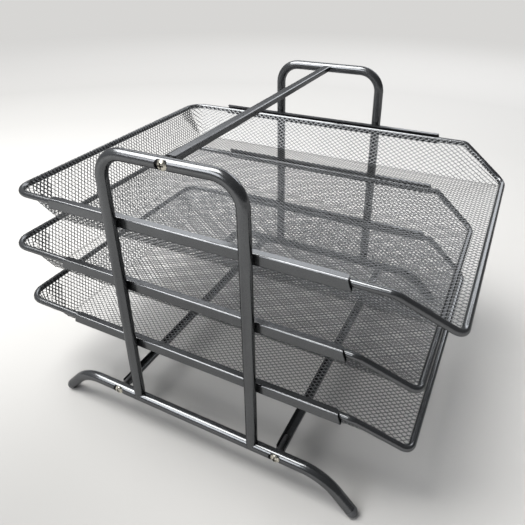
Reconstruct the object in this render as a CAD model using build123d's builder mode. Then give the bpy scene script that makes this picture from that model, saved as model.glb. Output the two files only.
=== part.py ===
from build123d import *
from math import cos, radians, sin, tan
import os

os.makedirs("parts", exist_ok=True)

# A three-tier letter tray stack. The origin is on the floor, under the middle of the stand.
# +X is to the right of a person who sits at the front, +Y is to the back and +Z is up.
# All sizes are in millimetres.

# Stand: two tubular arches on two foot rails, tied together by three crossbars.
arch_spacing = 280.0  # between the axes of the left and right arches
tube_diameter = 9.0
tube_wall = 1.0
arch_depth = 108.0  # between the axes of one arch's front and rear uprights
arch_bend = 20.0  # radius of the arch's bends, at the tube's axis
headroom = 51.7  # from the top runners' upper face to the axis of the arch's top
rail_height = 29.3  # from the floor to the foot rail's axis
rail_place = 1.5  # how far the foot rails' middle is behind the arches'
foot_reach = 141.5  # from the foot rail's middle to the tip of a foot
foot_drop_angle = 47.0
foot_bend = 38.0
foot_flat = 0.5  # how deep the worn flat under each cap is cut

# Foot caps, pressed into the ends of the foot rails.
cap_collar = 2.0
cap_plug_length = 9.0
cap_play = 0.05  # radial, between the plug and the tube's bore

# Crossbars: folded steel channels with a threaded nut welded into each end.
bar_width = 7.5
bar_height = 4.4
bar_sheet = 0.7
bar_fold = 1.2  # outer radius of the folds
bar_gap = 2.5  # the bare neck of the nut, between the tube and the channel's end
nut_diameter = 4.4
nut_length = 14.0
nut_thread = 3.3
lower_bar_place = 75.0  # from the middle of the stand to a lower crossbar's axis

# Pan head screws, cross recessed.
screw_head = 7.4
screw_head_height = 2.4
screw_rim = 0.7  # height of the head's straight edge
screw_shank = 3.2
screw_hole = 3.8
screw_reach = 12.0  # how far the thread runs into the nut
recess_width = 1.1
recess_length = 4.4
recess_depth = 1.4
dimple_diameter = 10.0  # of the round dimple that is pressed into the tube for the head
dimple_depth = 1.9

# Runners: folded channels, open towards the tray, in which the tray's rim slides.
runner_setback = 111.6  # how much shorter the runners are than the trays
runner_sheet = 1.0
runner_flange = 5.5
runner_end_slant = 2.5  # how much longer the lower flange is than the upper one, at each end
runner_fold = 1.5  # outer radius of the folds
runner_corner = 2.5  # radius of the flanges' free corners
bottom_tier = 90.3  # from the floor to the upper face of the bottom runners
lower_pitch = 56.5  # from the bottom runners to the middle ones
upper_pitch = 54.5  # from the middle runners to the top ones

# Tray rims: one closed loop of steel rod for each tray.
rim_rod = 5.2
rim_lift = 0.4  # between the runner's lower flange and the rod
rim_play = 1.4  # between the rod and the runner's upper flange, and beside it to the web
tray_length = 347.6  # from the axis of the rim's rear run to that of its front run
front_run = 39.0  # how far back from the front run the rim begins to drop
rear_corner = 16.0
shoulder_bend = 7.0
front_corner = 10.0

# Mesh pans: a flat net for the floor, with raised mesh walls.
pan_depth = 28.0  # from the rim's axis to the floor's upper face
pan_lean = 29.0  # degrees from upright, of the side and rear walls
pan_sheet = 0.8
pan_floor_corner = 2.0
rim_bite = 0.2  # how deep the rod is bedded in the mesh that is welded to it
mesh_top = 2.0  # height of the mesh's upper edge above the rim's axis
lip_rise = 1.0  # from the floor's upper face to the axis of the front run
lip_run = 10.0  # length of the front lip
net_columns = 13
net_rows = 12
net_strand = 2.6  # width of the bars of the net
net_border = 5.0
gusset_width = 18.0  # of the doubled mesh on the rear wall, at the rim
gusset_drop = 1.5  # from the rim's axis down to the gusset's upper edge

# Where each tray stands in its runners, from the middle of the stand; minus is forward.
top_tray_place = -9.8
middle_tray_place = 8.7
bottom_tray_place = 7.9

# Sizes that follow from those above.
tube_radius = tube_diameter / 2
rod_radius = rim_rod / 2
arch_x = arch_spacing / 2
middle_tier = bottom_tier + lower_pitch
top_tier = middle_tier + upper_pitch
arch_top = top_tier + headroom
runner_height = rim_rod + rim_lift + rim_play + 2 * runner_sheet
runner_length = tray_length - runner_setback
runner_face = arch_x - tube_radius
rim_half_width = runner_face - runner_sheet - rim_play - rod_radius
rim_below_tier = runner_height - runner_sheet - rim_lift - rod_radius
seat_face = arch_x + tube_radius - dimple_depth

tiers = {
    "top": (top_tray_place, top_tier),
    "middle": (middle_tray_place, middle_tier),
    "bottom": (bottom_tray_place, bottom_tier),
}
sides = {"left": -1, "right": 1}
ends = {"front": -1, "rear": 1}
# Each crossbar's place along Y and the height of its screws.
crossbars = {
    "top": (0.0, arch_top),
    "front": (-lower_bar_place, rail_height),
    "rear": (lower_bar_place, rail_height),
}
# Which way the back of each crossbar's channel faces: 1 is up and -1 is down.
bar_backs = {"top": 1, "front": -1, "rear": -1}


def tube_ring(path):
    """The tube's round section, square to the start of its path."""
    with BuildSketch(Plane(origin=path @ 0, z_dir=path % 0)) as ring:
        Circle(tube_radius)
        Circle(tube_radius - tube_wall, mode=Mode.SUBTRACT)
    return ring.sketch


def screw_dimple(side, place, height):
    """A dimple pressed into a tube for a screw's head: the metal pushed in, and the hollow and hole."""
    outside = Plane(
        origin=(side * (arch_x + tube_radius), place, height),
        x_dir=(0, 1, 0),
        z_dir=(side, 0, 0),
    )
    with BuildPart() as pushed_in:
        with BuildSketch(outside):
            Circle(dimple_diameter / 2 + tube_wall)
        extrude(amount=-dimple_depth - tube_wall)
        with BuildSketch(Plane.XZ.offset(-place)):
            with Locations((side * arch_x, height)):
                Circle(tube_radius - tube_wall / 2)
        extrude(amount=tube_diameter, both=True, mode=Mode.INTERSECT)
    with BuildPart() as hollow:
        with BuildSketch(outside):
            Circle(dimple_diameter / 2)
        extrude(amount=-dimple_depth)
        with BuildSketch(outside):
            Circle(screw_hole / 2)
        extrude(amount=-tube_diameter - tube_wall)
    return pushed_in.part, hollow.part


# The foot rails: a straight run with a dropped foot at each end. The cap's ball stands on
# the floor, and the tube ends one collar before the ball's centre.
drop = radians(foot_drop_angle)
ball_height = tube_radius - foot_flat
ball_place = foot_reach - tube_radius
foot_corner = ball_place - (rail_height - ball_height) / tan(drop)
tube_end_place = ball_place - cap_collar * cos(drop)
tube_end_height = ball_height + cap_collar * sin(drop)

for side_name, side in sides.items():
    with BuildPart() as foot_rail:
        with BuildLine(Plane.YZ.offset(side * arch_x)) as rail_path:
            FilletPolyline(
                (rail_place - tube_end_place, tube_end_height),
                (rail_place - foot_corner, rail_height),
                (rail_place + foot_corner, rail_height),
                (rail_place + tube_end_place, tube_end_height),
                radius=foot_bend,
            )
        sweep(tube_ring(rail_path.line), path=rail_path.line)
        for bar_name in ("front", "rear"):
            pushed_in, hollow = screw_dimple(side, *crossbars[bar_name])
            add(pushed_in)
            add(hollow, mode=Mode.SUBTRACT)
    foot_rail.part.label = f"{side_name}_foot_rail"
    export_step(foot_rail.part, f"parts/{side_name}_foot_rail.step")

# The foot caps: a ball that stands on its flat, a collar over the tube's end and a plug in its bore.
for side_name, side in sides.items():
    for end_name, end in ends.items():
        up_the_tube = Plane(
            origin=(side * arch_x, rail_place + end * ball_place, ball_height),
            z_dir=(0, -end * cos(drop), sin(drop)),
        )
        with BuildPart() as foot_cap:
            with BuildSketch(up_the_tube):
                Circle(tube_radius)
            extrude(amount=cap_collar)
            with BuildSketch(up_the_tube):
                Circle(tube_radius - tube_wall - cap_play)
            extrude(amount=cap_collar + cap_plug_length)
            with Locations(up_the_tube):
                Sphere(
                    tube_radius,
                    arc_size1=-90,
                    arc_size2=0,
                    align=(Align.CENTER, Align.CENTER, Align.MAX),
                )
            split(bisect_by=Plane.XY, keep=Keep.TOP)
        cap_name = f"{side_name}_{end_name}_foot_cap"
        foot_cap.part.label = cap_name
        export_step(foot_cap.part, f"parts/{cap_name}.step")

# The arches: each stands on its foot rail, and its feet are coped to the rail's round.
for side_name, side in sides.items():
    with BuildPart() as arch_tube:
        with BuildLine(Plane.YZ.offset(side * arch_x)) as arch_path:
            FilletPolyline(
                (-arch_depth / 2, rail_height),
                (-arch_depth / 2, arch_top),
                (arch_depth / 2, arch_top),
                (arch_depth / 2, rail_height),
                radius=arch_bend,
            )
        sweep(tube_ring(arch_path.line), path=arch_path.line)
        with BuildSketch(Plane.XZ) as rail_round:
            with Locations((side * arch_x, rail_height)):
                Circle(tube_radius)
        extrude(amount=arch_depth, both=True, mode=Mode.SUBTRACT)
        pushed_in, hollow = screw_dimple(side, *crossbars["top"])
        add(pushed_in)
        add(hollow, mode=Mode.SUBTRACT)
    arch_tube.part.label = f"{side_name}_arch_tube"
    export_step(arch_tube.part, f"parts/{side_name}_arch_tube.step")

# The runners: their webs are welded to the inner side of the arch's uprights.
for side_name, side in sides.items():
    for tier_name, (place, tier) in tiers.items():
        web_inside = runner_face - runner_sheet
        flange_edge = runner_face - runner_flange
        opening_width = web_inside - flange_edge + runner_sheet
        with BuildPart() as runner:
            with BuildSketch(Plane.XZ) as channel:
                with Locations((side * (runner_face + flange_edge) / 2, tier - runner_height / 2)):
                    Rectangle(runner_flange, runner_height)
                fillet(channel.vertices().group_by(Axis.X)[0 if side < 0 else -1], runner_fold)
                with Locations((side * (web_inside - opening_width / 2), tier - runner_height / 2)):
                    Rectangle(opening_width, runner_height - 2 * runner_sheet, mode=Mode.SUBTRACT)
            extrude(amount=runner_length / 2 + runner_end_slant, both=True)
            # The ends slope, so that the lower flange is the longer one.
            with BuildSketch(Plane.YZ) as end_outline:
                Polygon(
                    (-runner_length / 2, tier),
                    (runner_length / 2, tier),
                    (runner_length / 2 + runner_end_slant, tier - runner_height),
                    (-runner_length / 2 - runner_end_slant, tier - runner_height),
                    align=None,
                )
            extrude(amount=arch_x, both=True, mode=Mode.INTERSECT)
            free_corners = runner.edges().filter_by(
                lambda edge: abs(abs(edge.center().X) - flange_edge) < runner_sheet / 4
                and edge.length < 2 * runner_sheet
                and abs(edge.center().Y) > runner_length / 2 - runner_sheet
            )
            fillet(free_corners, runner_corner)
        runner_name = f"{side_name}_{tier_name}_runner"
        runner.part.label = runner_name
        export_step(runner.part, f"parts/{runner_name}.step")

# The crossbars: channels from one stand side to the other. The top one is open below, and the
# lower ones are open above.
bar_half_length = arch_x - tube_radius - bar_gap
for bar_name, (place, height) in crossbars.items():
    back = bar_backs[bar_name]
    back_face = height + back * (nut_diameter / 2 + bar_sheet)
    with BuildPart() as crossbar:
        with BuildSketch(Plane.YZ) as bar_section:
            with Locations((place, back_face - back * bar_height / 2)):
                Rectangle(bar_width, bar_height)
            fillet(bar_section.vertices().group_by(Axis.Y)[-1 if back > 0 else 0], bar_fold)
            with Locations((place, back_face - back * (bar_sheet + bar_height / 2))):
                RectangleRounded(
                    bar_width - 2 * bar_sheet,
                    bar_height,
                    bar_fold - bar_sheet,
                    mode=Mode.SUBTRACT,
                )
        extrude(amount=bar_half_length, both=True)
    crossbar.part.label = f"{bar_name}_crossbar"
    export_step(crossbar.part, f"parts/{bar_name}_crossbar.step")

# The crossbars' nuts: each is welded in the channel's end and coped to the tube that it meets.
for side_name, side in sides.items():
    for bar_name, (place, height) in crossbars.items():
        nut_face = arch_x - tube_radius - nut_length
        with BuildPart() as bar_nut:
            with BuildSketch(Plane.YZ.offset(side * nut_face)):
                with Locations((place, height)):
                    Circle(nut_diameter / 2)
                    Circle(nut_thread / 2, mode=Mode.SUBTRACT)
            extrude(amount=side * (arch_x - nut_face))
            with BuildSketch(Plane.XZ.offset(-place)):
                with Locations((side * arch_x, height)):
                    Circle(tube_radius)
            extrude(amount=bar_width, both=True, mode=Mode.SUBTRACT)
        nut_name = f"{side_name}_{bar_name}_bar_nut"
        bar_nut.part.label = nut_name
        export_step(bar_nut.part, f"parts/{nut_name}.step")

# The screws: all alike, each through a tube and into the nut behind it.
shank_length = tube_diameter - dimple_depth + screw_reach
with BuildPart() as pan_head_screws:
    for side in sides.values():
        for place, height in crossbars.values():
            under_head = (side * seat_face, place, height)
            head_top = (side * (seat_face + screw_head_height), place, height)
            with BuildSketch(Plane(origin=under_head, x_dir=(0, 1, 0), z_dir=(0, 0, -side))):
                with BuildLine():
                    Polyline(
                        (0, screw_head_height),
                        (0, -shank_length),
                        (screw_shank / 2, -shank_length),
                        (screw_shank / 2, 0),
                        (screw_head / 2, 0),
                        (screw_head / 2, screw_rim),
                    )
                    TangentArc(
                        (0, screw_head_height),
                        (screw_head / 2, screw_rim),
                        tangent=(1, 0),
                    )
                make_face()
            revolve(axis=Axis(under_head, (side, 0, 0)))
            with BuildSketch(Plane(origin=head_top, x_dir=(0, 1, 0), z_dir=(side, 0, 0))):
                Rectangle(recess_length, recess_width)
                Rectangle(recess_width, recess_length)
            extrude(amount=-recess_depth, mode=Mode.SUBTRACT)
pan_head_screws.part.label = "pan_head_screws"
export_step(pan_head_screws.part, "parts/pan_head_screws.step")

# The trays. Their heights are measured from the rim's axis, and their places along Y from
# the tray's own middle.
lean = radians(pan_lean)
front_drop = pan_depth - lip_rise
rim_rear = tray_length / 2
rim_front = -tray_length / 2
shoulder = rim_front + front_run
front_half_width = rim_half_width - front_drop * tan(lean)
rim_inset = (rod_radius - rim_bite) / cos(lean)
lip_rear = rim_front + lip_run
past = 1.0  # how far a cutting shape runs past the sheet that it cuts


def wall_reach(rim_reach, height):
    """How far out a wall's outer face stands at a height, under a rim that stands out rim_reach."""
    return rim_reach - rim_inset + height * tan(lean)


def tray_rim(seat):
    """One loop of rod: level at the back and the sides, and dropped to the floor's level in front."""
    with BuildPart() as rim:
        with BuildLine(seat) as right_half:
            FilletPolyline(
                (0, rim_rear, 0),
                (rim_half_width, rim_rear, 0),
                (rim_half_width, shoulder, 0),
                (front_half_width, rim_front, -front_drop),
                (0, rim_front, -front_drop),
                radius=[rear_corner, shoulder_bend, front_corner],
            )
        with BuildSketch(Plane(origin=right_half.line @ 0, z_dir=right_half.line % 0)):
            Circle(rod_radius)
        sweep(path=right_half.line)
        mirror(about=Plane.YZ)
    return rim.part


def tray_floor(seat):
    """The floor's net: one flat holed face, in staggered rows of diamonds."""
    half_width = wall_reach(rim_half_width, -pan_depth)
    floor_rear = wall_reach(rim_rear, -pan_depth)
    floor_length = floor_rear - lip_rear
    column = (2 * half_width - 2 * net_border) / net_columns
    row = (floor_length - 2 * net_border) / net_rows
    # A diamond is its cell drawn in by half a strand on every side.
    centre_to_side = column * row / (2 * (column**2 + row**2) ** 0.5)
    drawn_in = 1 - net_strand / 2 / centre_to_side
    across = column / 2 * drawn_in
    along = row / 2 * drawn_in
    with BuildPart() as floor:
        with BuildSketch(seat.offset(-pan_depth - pan_sheet)) as net:
            with Locations((0, (floor_rear + lip_rear) / 2)):
                Rectangle(2 * half_width, floor_length)
            fillet(net.vertices().group_by(Axis.Y)[-1], pan_floor_corner)
            with Locations((0, (floor_rear + lip_rear) / 2)):
                with GridLocations(column, row, net_columns, net_rows):
                    Polygon((across, 0), (0, along), (-across, 0), (0, -along), mode=Mode.SUBTRACT)
                with GridLocations(column, row, net_columns - 1, net_rows - 1):
                    Polygon((across, 0), (0, along), (-across, 0), (0, -along), mode=Mode.SUBTRACT)
        extrude(amount=pan_sheet)
    return floor.part


def pan_outline(seat, height, drawn_in):
    """The pan's outline at a height: its rear corners open out from the floor to the rim."""
    half_width = wall_reach(rim_half_width, height) - drawn_in
    rear = wall_reach(rim_rear, height) - drawn_in
    front = rim_front - rim_rod
    corner_at_rim = rear_corner - rim_inset
    corner = pan_floor_corner + (corner_at_rim - pan_floor_corner) * (1 + height / pan_depth) - drawn_in
    with BuildSketch(seat.offset(height)) as outline:
        with Locations((0, (rear + front) / 2)):
            Rectangle(2 * half_width, rear - front)
        fillet(outline.vertices().group_by(Axis.Y)[-1], corner)
    return outline.sketch


def tray_walls(seat, rim):
    """The pan's raised mesh: the side and rear walls, the gussets and the low lip in front."""
    side_view = Plane(origin=seat.origin, x_dir=(0, 1, 0), z_dir=(1, 0, 0))
    slope = front_drop / front_run
    front_edge = rim_front - rim_rod
    lip_slope = (lip_rise - pan_sheet / 2) / lip_run
    lip_front_top = -pan_depth + lip_slope * (lip_rear - front_edge)
    low = -pan_depth - pan_sheet
    with BuildPart() as inside:
        loft(
            [
                pan_outline(seat, low - past, pan_sheet / cos(lean)),
                pan_outline(seat, mesh_top + past, pan_sheet / cos(lean)),
            ],
            ruled=True,
        )
        with BuildSketch(side_view):
            Polygon(
                (rim_rear, mesh_top + past),
                (front_edge, mesh_top + past),
                (front_edge, lip_front_top),
                (lip_rear, -pan_depth),
                (lip_rear, low - past),
                (rim_rear, low - past),
                align=None,
            )
        extrude(amount=arch_x, both=True, mode=Mode.INTERSECT)
    with BuildPart() as walls:
        loft([pan_outline(seat, low, 0), pan_outline(seat, mesh_top, 0)], ruled=True)
        with BuildSketch(side_view):
            Polygon(
                (rim_rear, mesh_top),
                (shoulder - mesh_top * slope / 2, mesh_top),
                (rim_front, -front_drop + mesh_top * (1 + slope**2) ** 0.5),
                (rim_front, -front_drop - pan_sheet / 2),
                (lip_rear, low),
                (lip_rear, -pan_depth),
                (rim_rear, -pan_depth),
                align=None,
            )
        extrude(amount=arch_x, both=True, mode=Mode.INTERSECT)
        add(inside.part, mode=Mode.SUBTRACT)
        # The corner's spare mesh is folded flat on the outside of the rear wall.
        gusset_top = wall_reach(rim_half_width, 0) - (rear_corner - rim_inset)
        gusset_foot = wall_reach(rim_half_width, -pan_depth) - pan_floor_corner
        wall_origin = seat.from_local_coords((0, wall_reach(rim_rear, 0), 0))
        with BuildSketch(Plane(origin=wall_origin, x_dir=(1, 0, 0), z_dir=(0, cos(lean), -sin(lean)))):
            Polygon(
                (gusset_top, gusset_drop),
                (gusset_foot, pan_depth / cos(lean)),
                (gusset_top - gusset_width, gusset_drop),
                align=None,
            )
            mirror(about=Plane.YZ)
        extrude(amount=pan_sheet)
        add(rim, mode=Mode.SUBTRACT)
    return walls.part


for tier_name, (place, tier) in tiers.items():
    tray_seat = Plane(origin=(0, place, tier - rim_below_tier))
    rim = tray_rim(tray_seat)
    pieces = {
        "rim": rim,
        "mesh_floor": tray_floor(tray_seat),
        "mesh_walls": tray_walls(tray_seat, rim),
    }
    for piece_name, piece in pieces.items():
        piece.label = f"{tier_name}_{piece_name}"
        export_step(piece, f"parts/{piece.label}.step")
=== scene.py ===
from math import cos, pi, radians, sin, tan

import bpy
import numpy as np
from mathutils import Matrix, Vector


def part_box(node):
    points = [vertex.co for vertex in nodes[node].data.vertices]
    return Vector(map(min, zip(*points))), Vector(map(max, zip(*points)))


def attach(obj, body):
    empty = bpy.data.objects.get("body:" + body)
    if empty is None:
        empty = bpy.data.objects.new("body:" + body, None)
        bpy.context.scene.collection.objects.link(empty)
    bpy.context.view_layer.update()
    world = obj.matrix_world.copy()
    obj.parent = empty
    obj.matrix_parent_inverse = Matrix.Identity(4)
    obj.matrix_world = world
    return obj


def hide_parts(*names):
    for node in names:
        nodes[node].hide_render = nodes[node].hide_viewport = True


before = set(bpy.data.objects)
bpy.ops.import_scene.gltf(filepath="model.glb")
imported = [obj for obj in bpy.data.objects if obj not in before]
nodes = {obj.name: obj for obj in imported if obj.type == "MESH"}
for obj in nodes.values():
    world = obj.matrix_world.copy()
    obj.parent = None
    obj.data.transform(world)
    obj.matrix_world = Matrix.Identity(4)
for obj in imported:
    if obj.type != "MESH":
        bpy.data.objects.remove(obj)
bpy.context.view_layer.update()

# ---------------------------------------------------------------- Foot rails and arches
# Bent steel tubes, sprayed with silver-grey metallic paint. Both ends of a rail are dropped to
# the ground, and each arch is one tube bent twice, coped at its feet and welded on its rail.


def wire(tree, kind, settings=None, **feeds):
    """Adds a node, sets its properties, and feeds each named input with a value or a socket."""
    node = tree.nodes.new(kind)
    for key, value in (settings or {}).items():
        setattr(node, key, value)
    for key, feed in feeds.items():
        socket = node.inputs[key.replace("_", " ")]
        if isinstance(feed, bpy.types.NodeSocket):
            tree.links.new(feed, socket)
        else:
            socket.default_value = feed
    return node


def sum_up(tree, operation, *feeds):
    """A Math node's result, from values or sockets."""
    node = tree.nodes.new("ShaderNodeMath")
    node.operation = operation
    for socket, feed in zip(node.inputs, feeds):
        if isinstance(feed, bpy.types.NodeSocket):
            tree.links.new(feed, socket)
        else:
            socket.default_value = feed
    return node.outputs[0]


def new_group(name, kind, sockets_in, sockets_out):
    """An empty node group with named sockets, given as (name, socket type, default)."""
    group = bpy.data.node_groups.new(name, kind)
    for socket_name, socket_type, default in sockets_in:
        socket = group.interface.new_socket(socket_name, in_out="INPUT", socket_type=socket_type)
        if default is not None:
            socket.default_value = default
    for socket_name, socket_type in sockets_out:
        group.interface.new_socket(socket_name, in_out="OUTPUT", socket_type=socket_type)
    return group, group.nodes.new("NodeGroupInput"), group.nodes.new("NodeGroupOutput")


def spray_grain_group():
    """The paint's grain: metal flakes as a shade, and the orange peel as a height."""
    group, taken, given = new_group(
        "spray_grain",
        "ShaderNodeTree",
        [
            ("Vector", "NodeSocketVector", None),
            ("Flakes per Metre", "NodeSocketFloat", 1500.0),
            ("Peel per Metre", "NodeSocketFloat", 350.0),
        ],
        [("Shade", "NodeSocketFloat"), ("Height", "NodeSocketFloat")],
    )
    vector = taken.outputs["Vector"]
    flakes = wire(
        group,
        "ShaderNodeTexVoronoi",
        Vector=vector,
        Scale=taken.outputs["Flakes per Metre"],
    )
    peel = wire(
        group,
        "ShaderNodeTexNoise",
        Vector=vector,
        Scale=taken.outputs["Peel per Metre"],
        Detail=2.0,
        Roughness=0.5,
    )
    brightness = wire(group, "ShaderNodeSeparateColor", Color=flakes.outputs["Color"])
    group.links.new(brightness.outputs["Red"], given.inputs["Shade"])
    group.links.new(peel.outputs["Fac"], given.inputs["Height"])
    return group


def handling_group():
    """Patches that handling and dust have dulled, as a mask from 0 to 1."""
    group, taken, given = new_group(
        "handling",
        "ShaderNodeTree",
        [
            ("Vector", "NodeSocketVector", None),
            ("Patches per Metre", "NodeSocketFloat", 18.0),
            ("Contrast", "NodeSocketFloat", 2.0),
        ],
        [("Mask", "NodeSocketFloat")],
    )
    patches = wire(
        group,
        "ShaderNodeTexNoise",
        Vector=taken.outputs["Vector"],
        Scale=taken.outputs["Patches per Metre"],
        Detail=5.0,
        Roughness=0.65,
        Distortion=0.4,
    )
    centred = sum_up(group, "SUBTRACT", patches.outputs["Fac"], 0.5)
    spread = sum_up(group, "MULTIPLY", centred, taken.outputs["Contrast"])
    mask = sum_up(group, "ADD", spread, 0.5)
    clamped = wire(group, "ShaderNodeClamp", Value=mask)
    group.links.new(clamped.outputs[0], given.inputs["Mask"])
    return group


spray_grain = spray_grain_group()
handling = handling_group()


def use_group(tree, group, vector, **feeds):
    """Places a shared effect in a material, with values of its own."""
    node = tree.nodes.new("ShaderNodeGroup")
    node.node_tree = group
    tree.links.new(vector, node.inputs["Vector"])
    for key, value in feeds.items():
        node.inputs[key.replace("_", " ")].default_value = value
    return node


def spread_between(tree, mask, low, high):
    """A value that runs from low to high with a mask."""
    node = wire(tree, "ShaderNodeMapRange", Value=mask, To_Min=low, To_Max=high)
    return node.outputs["Result"]


def two_shades(tree, mask, shadow, light):
    """A colour that runs from one shade to another with a mask."""
    colour = wire(tree, "ShaderNodeMix", {"data_type": "RGBA"}, Factor=mask)
    colour.inputs[6].default_value = (*shadow, 1)
    colour.inputs[7].default_value = (*light, 1)
    return colour.outputs[2]


def new_finish(name):
    """A new material, with its node tree, its shader and the object's own coordinates."""
    material = bpy.data.materials.new(name)
    material.use_nodes = True
    tree = material.node_tree
    place = wire(tree, "ShaderNodeTexCoord").outputs["Object"]
    return material, tree, tree.nodes["Principled BSDF"], place


def roughen(tree, shader, height, distance):
    """Feeds a fine height to the shader's normal, as a bump of a given depth in metres."""
    bump = wire(tree, "ShaderNodeBump", Height=height, Distance=distance)
    tree.links.new(bump.outputs["Normal"], shader.inputs["Normal"])


flake_share = 0.35  # of the change between the paint's two shades
handling_share = 0.65
coat_roughness = 0.15
flake_tint = (0.45, 0.45, 0.45, 1)  # the flakes lose their shine at a grazing angle


def painted(name, shadow, light, gloss, matt, metallic, coat, peel_depth):
    """Metallic paint: its colour runs between two shades with the flakes and the handling."""
    paint, tree, shader, place = new_finish(name)
    grain = use_group(tree, spray_grain, place)
    worn = use_group(tree, handling, place)
    blend = sum_up(tree, "MULTIPLY", grain.outputs["Shade"], flake_share)
    blend = sum_up(tree, "MULTIPLY_ADD", worn.outputs["Mask"], handling_share, blend)
    tree.links.new(two_shades(tree, blend, shadow, light), shader.inputs["Base Color"])
    roughness = spread_between(tree, worn.outputs["Mask"], gloss, matt)
    tree.links.new(roughness, shader.inputs["Roughness"])
    roughen(tree, shader, grain.outputs["Height"], peel_depth)
    shader.inputs["Metallic"].default_value = metallic
    shader.inputs["Coat Weight"].default_value = coat
    shader.inputs["Coat Roughness"].default_value = coat_roughness
    shader.inputs["Specular Tint"].default_value = flake_tint
    return paint


frame_paint = painted(
    "silver_grey_paint",
    shadow=(0.088, 0.091, 0.095),
    light=(0.13, 0.134, 0.139),
    gloss=0.18,
    matt=0.26,
    metallic=0.9,
    coat=0.2,
    peel_depth=0.00001,
)


def finish_nodes(material, *names):
    """Puts a material on CAD nodes, whose meshes stay as they are."""
    for name in names:
        nodes[name].data.materials.clear()
        nodes[name].data.materials.append(material)


sides = ("left", "right")
for side in sides:
    finish_nodes(frame_paint, f"{side}_foot_rail", f"{side}_arch_tube")

# ---------------------------------------------------------------- Foot caps
# Moulded plastic caps, pushed into the ends of the rails. The stack stands on them, and they
# are a little duller and bluer than the paint.

cap_shadow = (0.05, 0.052, 0.056)
cap_light = (0.085, 0.088, 0.092)
cap_gloss = 0.26
cap_matt = 0.42
mould_grain = 900.0  # bumps to the metre
mould_grain_depth = 0.00004
cap_scuffs = 90.0  # patches to the metre


def moulded_plastic():
    """Grey plastic with the mould's fine grain and a few scuffs."""
    plastic, tree, shader, place = new_finish("cap_plastic")
    grain = use_group(tree, spray_grain, place, Peel_per_Metre=mould_grain)
    worn = use_group(tree, handling, place, Patches_per_Metre=cap_scuffs)
    scuffs = worn.outputs["Mask"]
    tree.links.new(two_shades(tree, scuffs, cap_shadow, cap_light), shader.inputs["Base Color"])
    roughness = spread_between(tree, scuffs, cap_gloss, cap_matt)
    tree.links.new(roughness, shader.inputs["Roughness"])
    roughen(tree, shader, grain.outputs["Height"], mould_grain_depth)
    return plastic


cap_plastic = moulded_plastic()
ends = ("front", "rear")
for side in sides:
    for end in ends:
        finish_nodes(cap_plastic, f"{side}_{end}_foot_cap")

# ---------------------------------------------------------------- Runners
# Folded steel channels, open towards the tray, painted with the tubes and welded to the
# inner side of both uprights.

tiers = ("top", "middle", "bottom")
for side in sides:
    for tier in tiers:
        finish_nodes(frame_paint, f"{side}_{tier}_runner")

# ---------------------------------------------------------------- Crossbars and their nuts
# Folded steel channels: the top one is open below and the lower two above. A round threaded
# nut is welded in each end, and a short bare neck of it shows before the tube.

bars = ("top", "front", "rear")
for bar in bars:
    finish_nodes(frame_paint, f"{bar}_crossbar")

metal_stains = 420.0  # patches to the metre
stain_contrast = 2.6
turning_marks = 2400.0  # to the metre
turning_depth = 0.00002


def bare_metal(name, shadow, light, gloss, matt):
    """Plated or oiled steel, with fine turning marks and a few stains.

    Its tree, colour and coordinates are returned with it, for what is laid over it.
    """
    metal, tree, shader, place = new_finish(name)
    stained = use_group(
        tree, handling, place, Patches_per_Metre=metal_stains, Contrast=stain_contrast
    )
    stains = stained.outputs["Mask"]
    grain = use_group(tree, spray_grain, place, Peel_per_Metre=turning_marks)
    colour = two_shades(tree, stains, shadow, light)
    tree.links.new(colour, shader.inputs["Base Color"])
    tree.links.new(spread_between(tree, stains, matt, gloss), shader.inputs["Roughness"])
    roughen(tree, shader, grain.outputs["Height"], turning_depth)
    shader.inputs["Metallic"].default_value = 1.0
    return metal, tree, colour, place


nut_steel = bare_metal(
    "dark_nut_steel",
    shadow=(0.09, 0.09, 0.093),
    light=(0.15, 0.15, 0.154),
    gloss=0.35,
    matt=0.5,
)[0]
for side in sides:
    for bar in bars:
        finish_nodes(nut_steel, f"{side}_{bar}_bar_nut")

# ---------------------------------------------------------------- Screws
# Zinc plated pan head screws with a cross recess. One goes through each tube, from a dimple
# pressed into its outer side, into the nut in the crossbar's end.

head_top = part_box("pan_head_screws")[1].x
dome_radius = 0.00488
recess_reach = 0.0025  # from the screw's axis to the end of the recess
nut_radius = 0.0022
bar_sheet = 0.0007
lower_bar_reach = 0.075  # from the stack's middle to the lower crossbars
# Each nut lies on the flat of its bar, which is above it in the top bar and below it in the
# lower two. A screw's axis is given here by its distance from the middle and its height.
screw_axes = (
    (0.0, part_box("top_crossbar")[1].z - bar_sheet - nut_radius),
    (lower_bar_reach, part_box("front_crossbar")[0].z + bar_sheet + nut_radius),
)
# Painted shade in each cross recess: its colour, and the depths below the dome where it begins
# and where it is full.
painted_recess_shade = (0.02, 0.019, 0.016)
shade_begins = 0.0001  # depth below the dome
shade_full = 0.0006
shade_cover = 0.92


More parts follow.
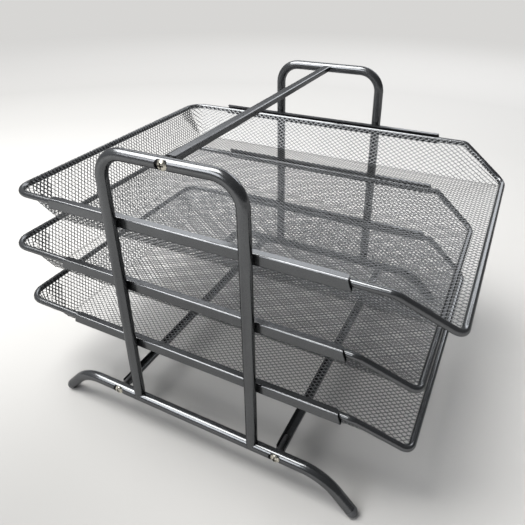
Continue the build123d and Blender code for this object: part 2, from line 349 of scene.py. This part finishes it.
def zinc_plate():
    """Bright plate, with painted shade darkening the bottom of each cross recess."""
    zinc, tree, colour, place = bare_metal(
        "screw_zinc",
        shadow=(0.5, 0.47, 0.39),
        light=(0.72, 0.69, 0.61),
        gloss=0.2,
        matt=0.34,
    )
    apart = wire(tree, "ShaderNodeSeparateXYZ", Vector=place)
    beside = sum_up(tree, "ABSOLUTE", apart.outputs["Y"])
    radii = []
    for across, height in screw_axes:
        side = sum_up(tree, "SUBTRACT", beside, across)
        up = sum_up(tree, "SUBTRACT", apart.outputs["Z"], height)
        squares = sum_up(tree, "MULTIPLY_ADD", side, side, sum_up(tree, "MULTIPLY", up, up))
        radii.append(sum_up(tree, "SQRT", squares))
    radius = sum_up(tree, "MINIMUM", *radii)
    # How far a point lies below the head's dome.
    fall = sum_up(tree, "DIVIDE", sum_up(tree, "MULTIPLY", radius, radius), 2 * dome_radius)
    dome = sum_up(tree, "SUBTRACT", head_top, fall)
    depth = sum_up(tree, "SUBTRACT", dome, sum_up(tree, "ABSOLUTE", apart.outputs["X"]))
    # The recess is darkened with painted shade, more fully the deeper a point lies below the
    # dome.
    shaded = wire(
        tree,
        "ShaderNodeMapRange",
        Value=depth,
        From_Min=shade_begins,
        From_Max=shade_full,
        To_Min=0.0,
        To_Max=shade_cover,
    )
    inside = sum_up(tree, "LESS_THAN", radius, recess_reach)
    recess_shaded = wire(
        tree,
        "ShaderNodeMix",
        {"data_type": "RGBA"},
        Factor=sum_up(tree, "MULTIPLY", shaded.outputs["Result"], inside),
    )
    tree.links.new(colour, recess_shaded.inputs[6])
    recess_shaded.inputs[7].default_value = (*painted_recess_shade, 1)
    tree.links.new(recess_shaded.outputs[2], tree.nodes["Principled BSDF"].inputs["Base Color"])
    return zinc


finish_nodes(zinc_plate(), "pan_head_screws")

# ---------------------------------------------------------------- Tray rims
# One loop of steel rod for each tray, bent level at the sides and back and butt welded. The
# front run is dropped to the level of the tray's floor.

for tier in tiers:
    finish_nodes(frame_paint, f"{tier}_rim")

# ---------------------------------------------------------------- Mesh pans
# Each pan is one sheet of expanded steel, slit and stretched into diamonds, then pressed: a
# flat floor, leaning walls, round rear corners, and a low lip in front. Its edges are welded
# to the rim, and the corners' spare mesh is folded flat on the outside of the rear wall.

rod_radius = 0.0026
pan_lean = radians(29.0)
cell_width = 0.00386  # of one diamond, across the tray
cell_length = 0.00565  # along the tray
strand_width = 0.00067
strand_thickness = 0.0003
strand_tilt = 0.00017  # how far a strand's two edges stand above and below the sheet
mesh_edge = 0.0015  # height of the walls' upper edge above the rim's axis
weld_gap = 0.0002  # corners of neighbouring diamonds that are nearer than this become one
face_gap = 0.00002  # the same for the corners of a strand's own faces
corner_at_floor = 0.002  # radii of the rear corners
corner_at_rim = 0.01325
gusset_width = 0.018
gusset_drop = 0.0015  # below the wall's upper edge
gusset_lift = 0.0008  # between the wall and the gusset, which is folded flat on it
front_height = 0.0018  # of a side wall where it ends at the front run
front_run = 0.039  # how far back from the front run the rim begins to drop
lip_slope = 0.1
outer_clearance = 0.00007  # between the strands and the pan's outer face

rim_low, rim_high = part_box("top_rim")
floor_low, floor_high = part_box("top_mesh_floor")
rim_height = rim_high.z - rod_radius
tray_middle = (rim_low.y + rim_high.y) / 2
rim_front = rim_low.y + rod_radius - tray_middle
floor_face = floor_high.z - rim_height
underside = floor_low.z - rim_height
floor_front = floor_low.y - tray_middle
# The pan's outer faces meet the underside at these creases.
pan_half_width = floor_high.x + (underside - floor_face) * tan(pan_lean)
pan_rear = floor_high.y - tray_middle + (underside - floor_face) * tan(pan_lean)
wall_length = (mesh_edge - underside) / cos(pan_lean)


def expanded_mesh_tree():
    """Fills a flat outline, which is the modifier's own geometry, with expanded mesh."""
    tree, taken, given = new_group(
        "expanded_mesh",
        "GeometryNodeTree",
        [
            ("Outline", "NodeSocketGeometry", None),
            ("Cell Width", "NodeSocketFloat", 0.004),
            ("Cell Length", "NodeSocketFloat", 0.006),
            ("Columns", "NodeSocketInt", 10),
            ("Rows", "NodeSocketInt", 10),
            ("Opening", "NodeSocketFloat", 0.75),
            ("Thickness", "NodeSocketFloat", 0.0004),
            ("Tilt", "NodeSocketFloat", 0.0002),
            ("Finish", "NodeSocketMaterial", None),
        ],
        [("Mesh", "NodeSocketGeometry")],
    )
    width = taken.outputs["Cell Width"]
    length = taken.outputs["Cell Length"]
    columns = taken.outputs["Columns"]
    rows = taken.outputs["Rows"]
    # One diamond, laid on two interleaved grids.
    diamond = wire(tree, "GeometryNodeMeshCircle", {"fill_type": "NGON"}, Vertices=4, Radius=0.5)
    size = wire(tree, "ShaderNodeCombineXYZ", X=width, Y=length, Z=1.0)
    diamond = wire(
        tree, "GeometryNodeTransform", Geometry=diamond.outputs["Mesh"], Scale=size.outputs[0]
    )
    grids = tree.nodes.new("GeometryNodeJoinGeometry")
    for fewer in (0, 1):
        points_x = sum_up(tree, "SUBTRACT", columns, fewer)
        points_y = sum_up(tree, "SUBTRACT", rows, fewer)
        grid = wire(
            tree,
            "GeometryNodeMeshGrid",
            Size_X=sum_up(tree, "MULTIPLY", sum_up(tree, "SUBTRACT", points_x, 1), width),
            Size_Y=sum_up(tree, "MULTIPLY", sum_up(tree, "SUBTRACT", points_y, 1), length),
            Vertices_X=points_x,
            Vertices_Y=points_y,
        )
        tree.links.new(grid.outputs["Mesh"], grids.inputs["Geometry"])
    laid = wire(
        tree,
        "GeometryNodeInstanceOnPoints",
        Points=grids.outputs[0],
        Instance=diamond.outputs["Geometry"],
    )
    sheet = wire(tree, "GeometryNodeRealizeInstances", Geometry=laid.outputs["Instances"])
    sheet = wire(
        tree, "GeometryNodeMergeByDistance", Geometry=sheet.outputs[0], Distance=weld_gap
    )
    # Only the diamonds whose middle is inside the outline are kept.
    place = wire(tree, "GeometryNodeInputPosition").outputs[0]
    above = wire(tree, "ShaderNodeVectorMath", {"operation": "ADD"})
    tree.links.new(place, above.inputs[0])
    above.inputs[1].default_value = (0, 0, 1)
    ray = wire(
        tree,
        "GeometryNodeRaycast",
        Target_Geometry=taken.outputs["Outline"],
        Source_Position=above.outputs[0],
        Ray_Direction=(0, 0, -1),
        Ray_Length=2.0,
    )
    outside = wire(tree, "FunctionNodeBooleanMath", {"operation": "NOT"})
    tree.links.new(ray.outputs["Is Hit"], outside.inputs[0])
    kept = wire(
        tree,
        "GeometryNodeDeleteGeometry",
        {"domain": "FACE"},
        Geometry=sheet.outputs[0],
        Selection=outside.outputs[0],
    )
    # Each diamond opens from its middle, which leaves its four strands.
    slit = wire(
        tree, "GeometryNodeExtrudeMesh", {"mode": "FACES"}, Mesh=kept.outputs[0], Offset_Scale=0.0
    )
    opened = wire(
        tree,
        "GeometryNodeScaleElements",
        {"domain": "FACE"},
        Geometry=slit.outputs["Mesh"],
        Selection=slit.outputs["Top"],
        Scale=taken.outputs["Opening"],
    )
    lattice = wire(
        tree,
        "GeometryNodeDeleteGeometry",
        {"domain": "FACE"},
        Geometry=opened.outputs[0],
        Selection=slit.outputs["Top"],
    )
    # The stretch tilts the strands: a wave across the cells lifts one side of each opening.
    across = wire(tree, "ShaderNodeSeparateXYZ", Vector=place).outputs["X"]
    turns = sum_up(tree, "DIVIDE", across, width)
    wave = sum_up(tree, "SINE", sum_up(tree, "MULTIPLY", turns, -4 * pi))
    lift = sum_up(tree, "MULTIPLY", wave, taken.outputs["Tilt"])
    lifted = wire(
        tree,
        "GeometryNodeSetPosition",
        Geometry=lattice.outputs[0],
        Offset=wire(tree, "ShaderNodeCombineXYZ", Z=lift).outputs[0],
    )
    # The sheet's thickness: a copy of the faces is drawn down and closed at every edge.
    down = sum_up(tree, "MULTIPLY", taken.outputs["Thickness"], -1.0)
    drawn = wire(
        tree,
        "GeometryNodeExtrudeMesh",
        {"mode": "FACES"},
        Mesh=lifted.outputs[0],
        Offset=wire(tree, "ShaderNodeCombineXYZ", Z=down).outputs[0],
        Individual=False,
    )
    turned = wire(tree, "GeometryNodeFlipFaces", Mesh=drawn.outputs["Mesh"])
    both = tree.nodes.new("GeometryNodeJoinGeometry")
    tree.links.new(turned.outputs[0], both.inputs["Geometry"])
    tree.links.new(lifted.outputs[0], both.inputs["Geometry"])
    closed = wire(
        tree, "GeometryNodeMergeByDistance", Geometry=both.outputs[0], Distance=face_gap
    )
    solid = wire(tree, "GeometryNodeRealizeInstances", Geometry=closed.outputs[0])
    finished = wire(
        tree,
        "GeometryNodeSetMaterial",
        Geometry=solid.outputs[0],
        Material=taken.outputs["Finish"],
    )
    tree.links.new(finished.outputs[0], given.inputs["Mesh"])
    return tree


expanded_mesh = expanded_mesh_tree()
mesh_paint = painted(
    "mesh_paint",
    shadow=(0.115, 0.119, 0.123),
    light=(0.195, 0.2, 0.205),
    gloss=0.32,
    matt=0.38,
    metallic=0.9,
    coat=0.1,
    peel_depth=0.00002,
)


def fill_outline(name, corners):
    """The evaluated mesh of an outline, which is filled with expanded mesh."""
    outline = bpy.data.meshes.new(name)
    outline.from_pydata([(x, y, 0) for x, y in corners], [], [range(len(corners))])
    piece = bpy.data.objects.new(name, outline)
    bpy.context.scene.collection.objects.link(piece)
    modifier = piece.modifiers.new("expanded_mesh", "NODES")
    modifier.node_group = expanded_mesh
    # From a diamond's middle to the middle of a side.
    inradius = cell_width * cell_length / (2 * (cell_width**2 + cell_length**2) ** 0.5)
    reach = max(max(abs(x), abs(y)) for x, y in corners)
    sizes = {
        "Cell Width": cell_width,
        "Cell Length": cell_length,
        "Columns": 2 * int(reach / cell_width) + 5,
        "Rows": 2 * int(reach / cell_length) + 5,
        "Opening": 1 - strand_width / 2 / inradius,
        "Thickness": strand_thickness,
        "Tilt": strand_tilt,
        "Finish": mesh_paint,
    }
    for socket in expanded_mesh.interface.items_tree:
        if socket.name in sizes:
            modifier[socket.identifier] = sizes[socket.name]
    evaluated = piece.evaluated_get(bpy.context.evaluated_depsgraph_get())
    mesh = bpy.data.meshes.new_from_object(evaluated)
    bpy.data.objects.remove(piece)
    return mesh


def read_points(mesh):
    """A mesh's points, one to a row."""
    flat = np.empty(3 * len(mesh.vertices))
    mesh.vertices.foreach_get("co", flat)
    return flat.reshape(-1, 3)


def write_points(mesh, x, y, z):
    """Moves a mesh's points to new places."""
    mesh.vertices.foreach_set("co", np.stack([x, y, z], axis=1).ravel())
    mesh.update()


# How far the sheet's middle stands in from the pan's outer face.
sheet_inset = strand_thickness / 2 + strand_tilt + outer_clearance


def lay_floor(mesh):
    """The floor: flat, with a slight rise from its front edge to the rim's front run."""
    u, v, w = read_points(mesh).T
    rise = np.clip(floor_front - v, 0, None) * lip_slope
    write_points(mesh, u, v, underside + sheet_inset + w + rise)


def fold_side(mesh):
    """A side wall and the round corner behind it, folded up at the side crease."""
    u, v, w = read_points(mesh).T
    up = u - pan_half_width
    share = up / wall_length
    radius = corner_at_floor + (corner_at_rim - corner_at_floor) * share
    depth = sheet_inset + w
    middle_x = pan_half_width + up * sin(pan_lean) - radius
    middle_y = pan_rear + up * sin(pan_lean) - radius
    turn = np.clip((v - middle_y) / radius, 0, pi / 2)
    reach = radius - depth * cos(pan_lean)
    x = middle_x + reach * np.cos(turn)
    y = np.where(v > middle_y, middle_y + reach * np.sin(turn), v)
    z = underside + up * cos(pan_lean) + depth * sin(pan_lean)
    write_points(mesh, x, y, z)


def fold_rear(mesh, layer=0.0):
    """The rear wall, folded up at the rear crease; a further layer lies outside it."""
    u, v, w = read_points(mesh).T
    up = v - pan_rear
    depth = sheet_inset + w - layer
    y = pan_rear + up * sin(pan_lean) - depth * cos(pan_lean)
    z = underside + up * cos(pan_lean) + depth * sin(pan_lean)
    write_points(mesh, u, y, z)


def mirrored(mesh):
    """A right-hand piece's mesh, turned into the left-hand one."""
    copy = mesh.copy()
    copy.transform(Matrix.Scale(-1, 4, (1, 0, 0)))
    copy.flip_normals()
    return copy


def join_meshes(name, meshes):
    """One mesh from several."""
    pieces = []
    for mesh in meshes:
        piece = bpy.data.objects.new(name, mesh)
        bpy.context.scene.collection.objects.link(piece)
        pieces.append(piece)
    with bpy.context.temp_override(
        active_object=pieces[0],
        object=pieces[0],
        selected_objects=pieces,
        selected_editable_objects=pieces,
    ):
        bpy.ops.object.join()
    joined = pieces[0].data.copy()
    bpy.data.objects.remove(pieces[0])
    return joined


crease_end = pan_rear - corner_at_floor + corner_at_floor * pi / 2
edge_middle = pan_rear + wall_length * sin(pan_lean) - corner_at_rim
edge_end = edge_middle + corner_at_rim * pi / 2
front_up = front_height / cos(pan_lean)
shoulder = rim_front + front_run
side_outline = [
    (pan_half_width, rim_front),
    (pan_half_width + front_up, rim_front),
    (pan_half_width + wall_length, shoulder),
    (pan_half_width + wall_length, edge_end),
    (pan_half_width, crease_end),
]
rear_crease_half = pan_half_width - corner_at_floor
rear_edge_half = pan_half_width + wall_length * sin(pan_lean) - corner_at_rim
rear_outline = [
    (-rear_crease_half, pan_rear),
    (rear_crease_half, pan_rear),
    (rear_edge_half, pan_rear + wall_length),
    (-rear_edge_half, pan_rear + wall_length),
]
floor_outline = [
    (-pan_half_width, floor_front),
    (pan_half_width, floor_front),
    (pan_half_width, pan_rear),
    (-pan_half_width, pan_rear),
]
lip_outline = [
    (-pan_half_width, rim_front),
    (pan_half_width, rim_front),
    (pan_half_width, floor_front),
    (-pan_half_width, floor_front),
]
gusset_outline = [
    (rear_edge_half, pan_rear + wall_length - gusset_drop),
    (rear_edge_half - gusset_width, pan_rear + wall_length - gusset_drop),
    (rear_crease_half, pan_rear),
]

floor_mesh = fill_outline("floor_outline", floor_outline)
lay_floor(floor_mesh)
lip_mesh = fill_outline("lip_outline", lip_outline)
lay_floor(lip_mesh)
side_mesh = fill_outline("side_outline", side_outline)
fold_side(side_mesh)
rear_mesh = fill_outline("rear_outline", rear_outline)
fold_rear(rear_mesh)
gusset_mesh = fill_outline("gusset_outline", gusset_outline)
fold_rear(gusset_mesh, layer=gusset_lift)
walls_mesh = join_meshes(
    "walls",
    [
        side_mesh,
        mirrored(side_mesh),
        rear_mesh,
        gusset_mesh,
        mirrored(gusset_mesh),
        lip_mesh,
    ],
)

for tier in tiers:
    tier_rim_low, tier_rim_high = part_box(f"{tier}_rim")
    tier_middle = (tier_rim_low.y + tier_rim_high.y) / 2
    tray_place = Vector((0, tier_middle, tier_rim_high.z - rod_radius))
    for part, mesh in (("floor", floor_mesh), ("walls", walls_mesh)):
        piece = bpy.data.objects.new(f"{tier}_expanded_{part}", mesh.copy())
        piece.data.transform(Matrix.Translation(tray_place))
        bpy.context.scene.collection.objects.link(piece)
        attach(piece, f"{tier}_tray")
        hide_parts(f"{tier}_mesh_{part}")

# ---------------------------------------------------------------- Studio
# A plain pale paper floor, which runs on into a background of the same grey. Soft lamps hang
# above and around the stack, and the camera looks at it from the photograph's angle.

tone_middle = (-0.3, 0.1, 0.0)  # where the lamps shine most
tone_reach = 3.6
# The paper's grey at each distance from there.
floor_tones = (
    (0.0, 0.30),
    (0.2, 0.42),
    (0.4, 0.50),
    (0.6, 0.50),
    (0.8, 0.47),
    (1.0, 0.44),
    (1.3, 0.44),
    (1.6, 0.55),
    (1.9, 0.69),
    (2.2, 0.85),
    (3.6, 0.9),
)
background_grey = 0.68
paper_warmth = (1, 0.99, 0.97)
paper_roughness = 0.8
glow_begins = 1.3  # distances between which the background takes over from the lit paper
glow_full = 2.2
floor_half_size = 30.0


def studio_floor_paper():
    """Pale paper, toned darker under the lamps and lighter far off, so that it renders even."""
    paper, tree, shader, place = new_finish("studio_floor")
    distance = wire(tree, "ShaderNodeVectorMath", {"operation": "DISTANCE"})
    tree.links.new(place, distance.inputs[0])
    distance.inputs[1].default_value = tone_middle
    tone = wire(
        tree,
        "ShaderNodeValToRGB",
        Fac=sum_up(tree, "DIVIDE", distance.outputs["Value"], tone_reach),
    )
    steps = tone.color_ramp.elements
    while len(steps) < len(floor_tones):
        steps.new(1.0)
    for step, (far, grey) in zip(steps, floor_tones):
        step.position = far / tone_reach
        step.color = (*(grey * part for part in paper_warmth), 1)
    tree.links.new(tone.outputs["Color"], shader.inputs["Base Color"])
    shader.inputs["Roughness"].default_value = paper_roughness
    # Far off, where the lamps don't reach, the background's own colour is seen.
    path = wire(tree, "ShaderNodeLightPath")
    seen = sum_up(tree, "MAXIMUM", path.outputs["Is Camera Ray"], path.outputs["Is Glossy Ray"])
    seen = sum_up(tree, "MAXIMUM", seen, path.outputs["Is Transmission Ray"])
    far = wire(
        tree,
        "ShaderNodeMapRange",
        Value=distance.outputs["Value"],
        From_Min=glow_begins,
        From_Max=glow_full,
    )
    glow = wire(tree, "ShaderNodeEmission", Color=(*paper_warmth, 1), Strength=background_grey)
    share = sum_up(tree, "MULTIPLY", far.outputs["Result"], seen)
    blend = wire(tree, "ShaderNodeMixShader", Fac=share)
    tree.links.new(shader.outputs["BSDF"], blend.inputs[1])
    tree.links.new(glow.outputs[0], blend.inputs[2])
    tree.links.new(blend.outputs[0], tree.nodes["Material Output"].inputs["Surface"])
    return paper


floor_sheet = bpy.data.meshes.new("studio_floor")
floor_sheet.from_pydata(
    [
        (x * floor_half_size, y * floor_half_size, 0)
        for x, y in ((-1, -1), (1, -1), (1, 1), (-1, 1))
    ],
    [],
    [(0, 1, 2, 3)],
)
floor_sheet.materials.append(studio_floor_paper())
studio_floor = bpy.data.objects.new("studio_floor", floor_sheet)
bpy.context.scene.collection.objects.link(studio_floor)

# The world's light is dimmer in front of the stack than behind it.
world_colour = (0.95, 0.97, 1.0, 1)
bright_side = (0.35, 0.9, 0.25)
world_dimmest = 0.12
world_gain = 0.4
world = bpy.data.worlds.new("studio")
world.use_nodes = True
world_tree = world.node_tree
backdrop = world_tree.nodes["Background"]
backdrop.inputs["Color"].default_value = world_colour
towards = wire(world_tree, "ShaderNodeVectorMath", {"operation": "DOT_PRODUCT"})
heading = wire(world_tree, "ShaderNodeTexCoord").outputs["Generated"]
world_tree.links.new(heading, towards.inputs[0])
towards.inputs[1].default_value = bright_side
behind = sum_up(world_tree, "MULTIPLY_ADD", towards.outputs["Value"], 0.5, 0.5)
squared = sum_up(world_tree, "POWER", behind, 2.0)
strength = sum_up(world_tree, "MULTIPLY_ADD", squared, world_gain, world_dimmest)
world_tree.links.new(strength, backdrop.inputs["Strength"])
bpy.context.scene.world = world


def soft_lamp(name, place, size_x, size_y, power, colour):
    """A rectangular lamp, aimed at the stack's middle."""
    lamp = bpy.data.lights.new(name, "AREA")
    lamp.shape = "RECTANGLE"
    lamp.size = size_x
    lamp.size_y = size_y
    lamp.energy = power
    lamp.color = colour
    holder = bpy.data.objects.new(name, lamp)
    holder.location = place
    aim = Vector(stack_middle) - Vector(place)
    holder.rotation_euler = aim.to_track_quat("-Z", "Y").to_euler()
    bpy.context.scene.collection.objects.link(holder)


stack_middle = (0, 0, 0.15)
warm_white = (1.0, 0.99, 0.97)
cool_white = (0.97, 0.98, 1.0)
soft_lamp("overhead", (-0.25, 0.7, 1.7), 1.1, 1.3, power=58.0, colour=warm_white)
soft_lamp("right_panel", (1.46, 0.92, 1.32), 1.2, 0.7, power=9.0, colour=cool_white)
soft_lamp("left_panel", (-1.45, 0.68, 1.2), 1.0, 0.8, power=16.0, colour=cool_white)
soft_lamp("front_panel", (1.49, -0.2, 0.94), 1.0, 0.6, power=9.0, colour=cool_white)

# The camera stands left of the front, above the stack, with a slight lean.
lens = 35.46
frame_lift = -0.094
clip_start = 0.01
camera_place = Vector((-0.3706, -0.1870, 0.3745))
camera_heading = radians(-62.397)
camera_tilt = radians(61.686)
camera_roll = radians(-0.944)
camera = bpy.data.objects.new("camera", bpy.data.cameras.new("camera"))
camera.data.lens = lens
camera.data.shift_y = frame_lift
camera.data.clip_start = clip_start
camera.matrix_world = (
    Matrix.Translation(camera_place)
    @ Matrix.Rotation(camera_heading, 4, "Z")
    @ Matrix.Rotation(camera_tilt, 4, "X")
    @ Matrix.Rotation(camera_roll, 4, "Z")
)
bpy.context.scene.collection.objects.link(camera)
bpy.context.scene.camera = camera
bpy.context.scene.view_settings.view_transform = "Standard"
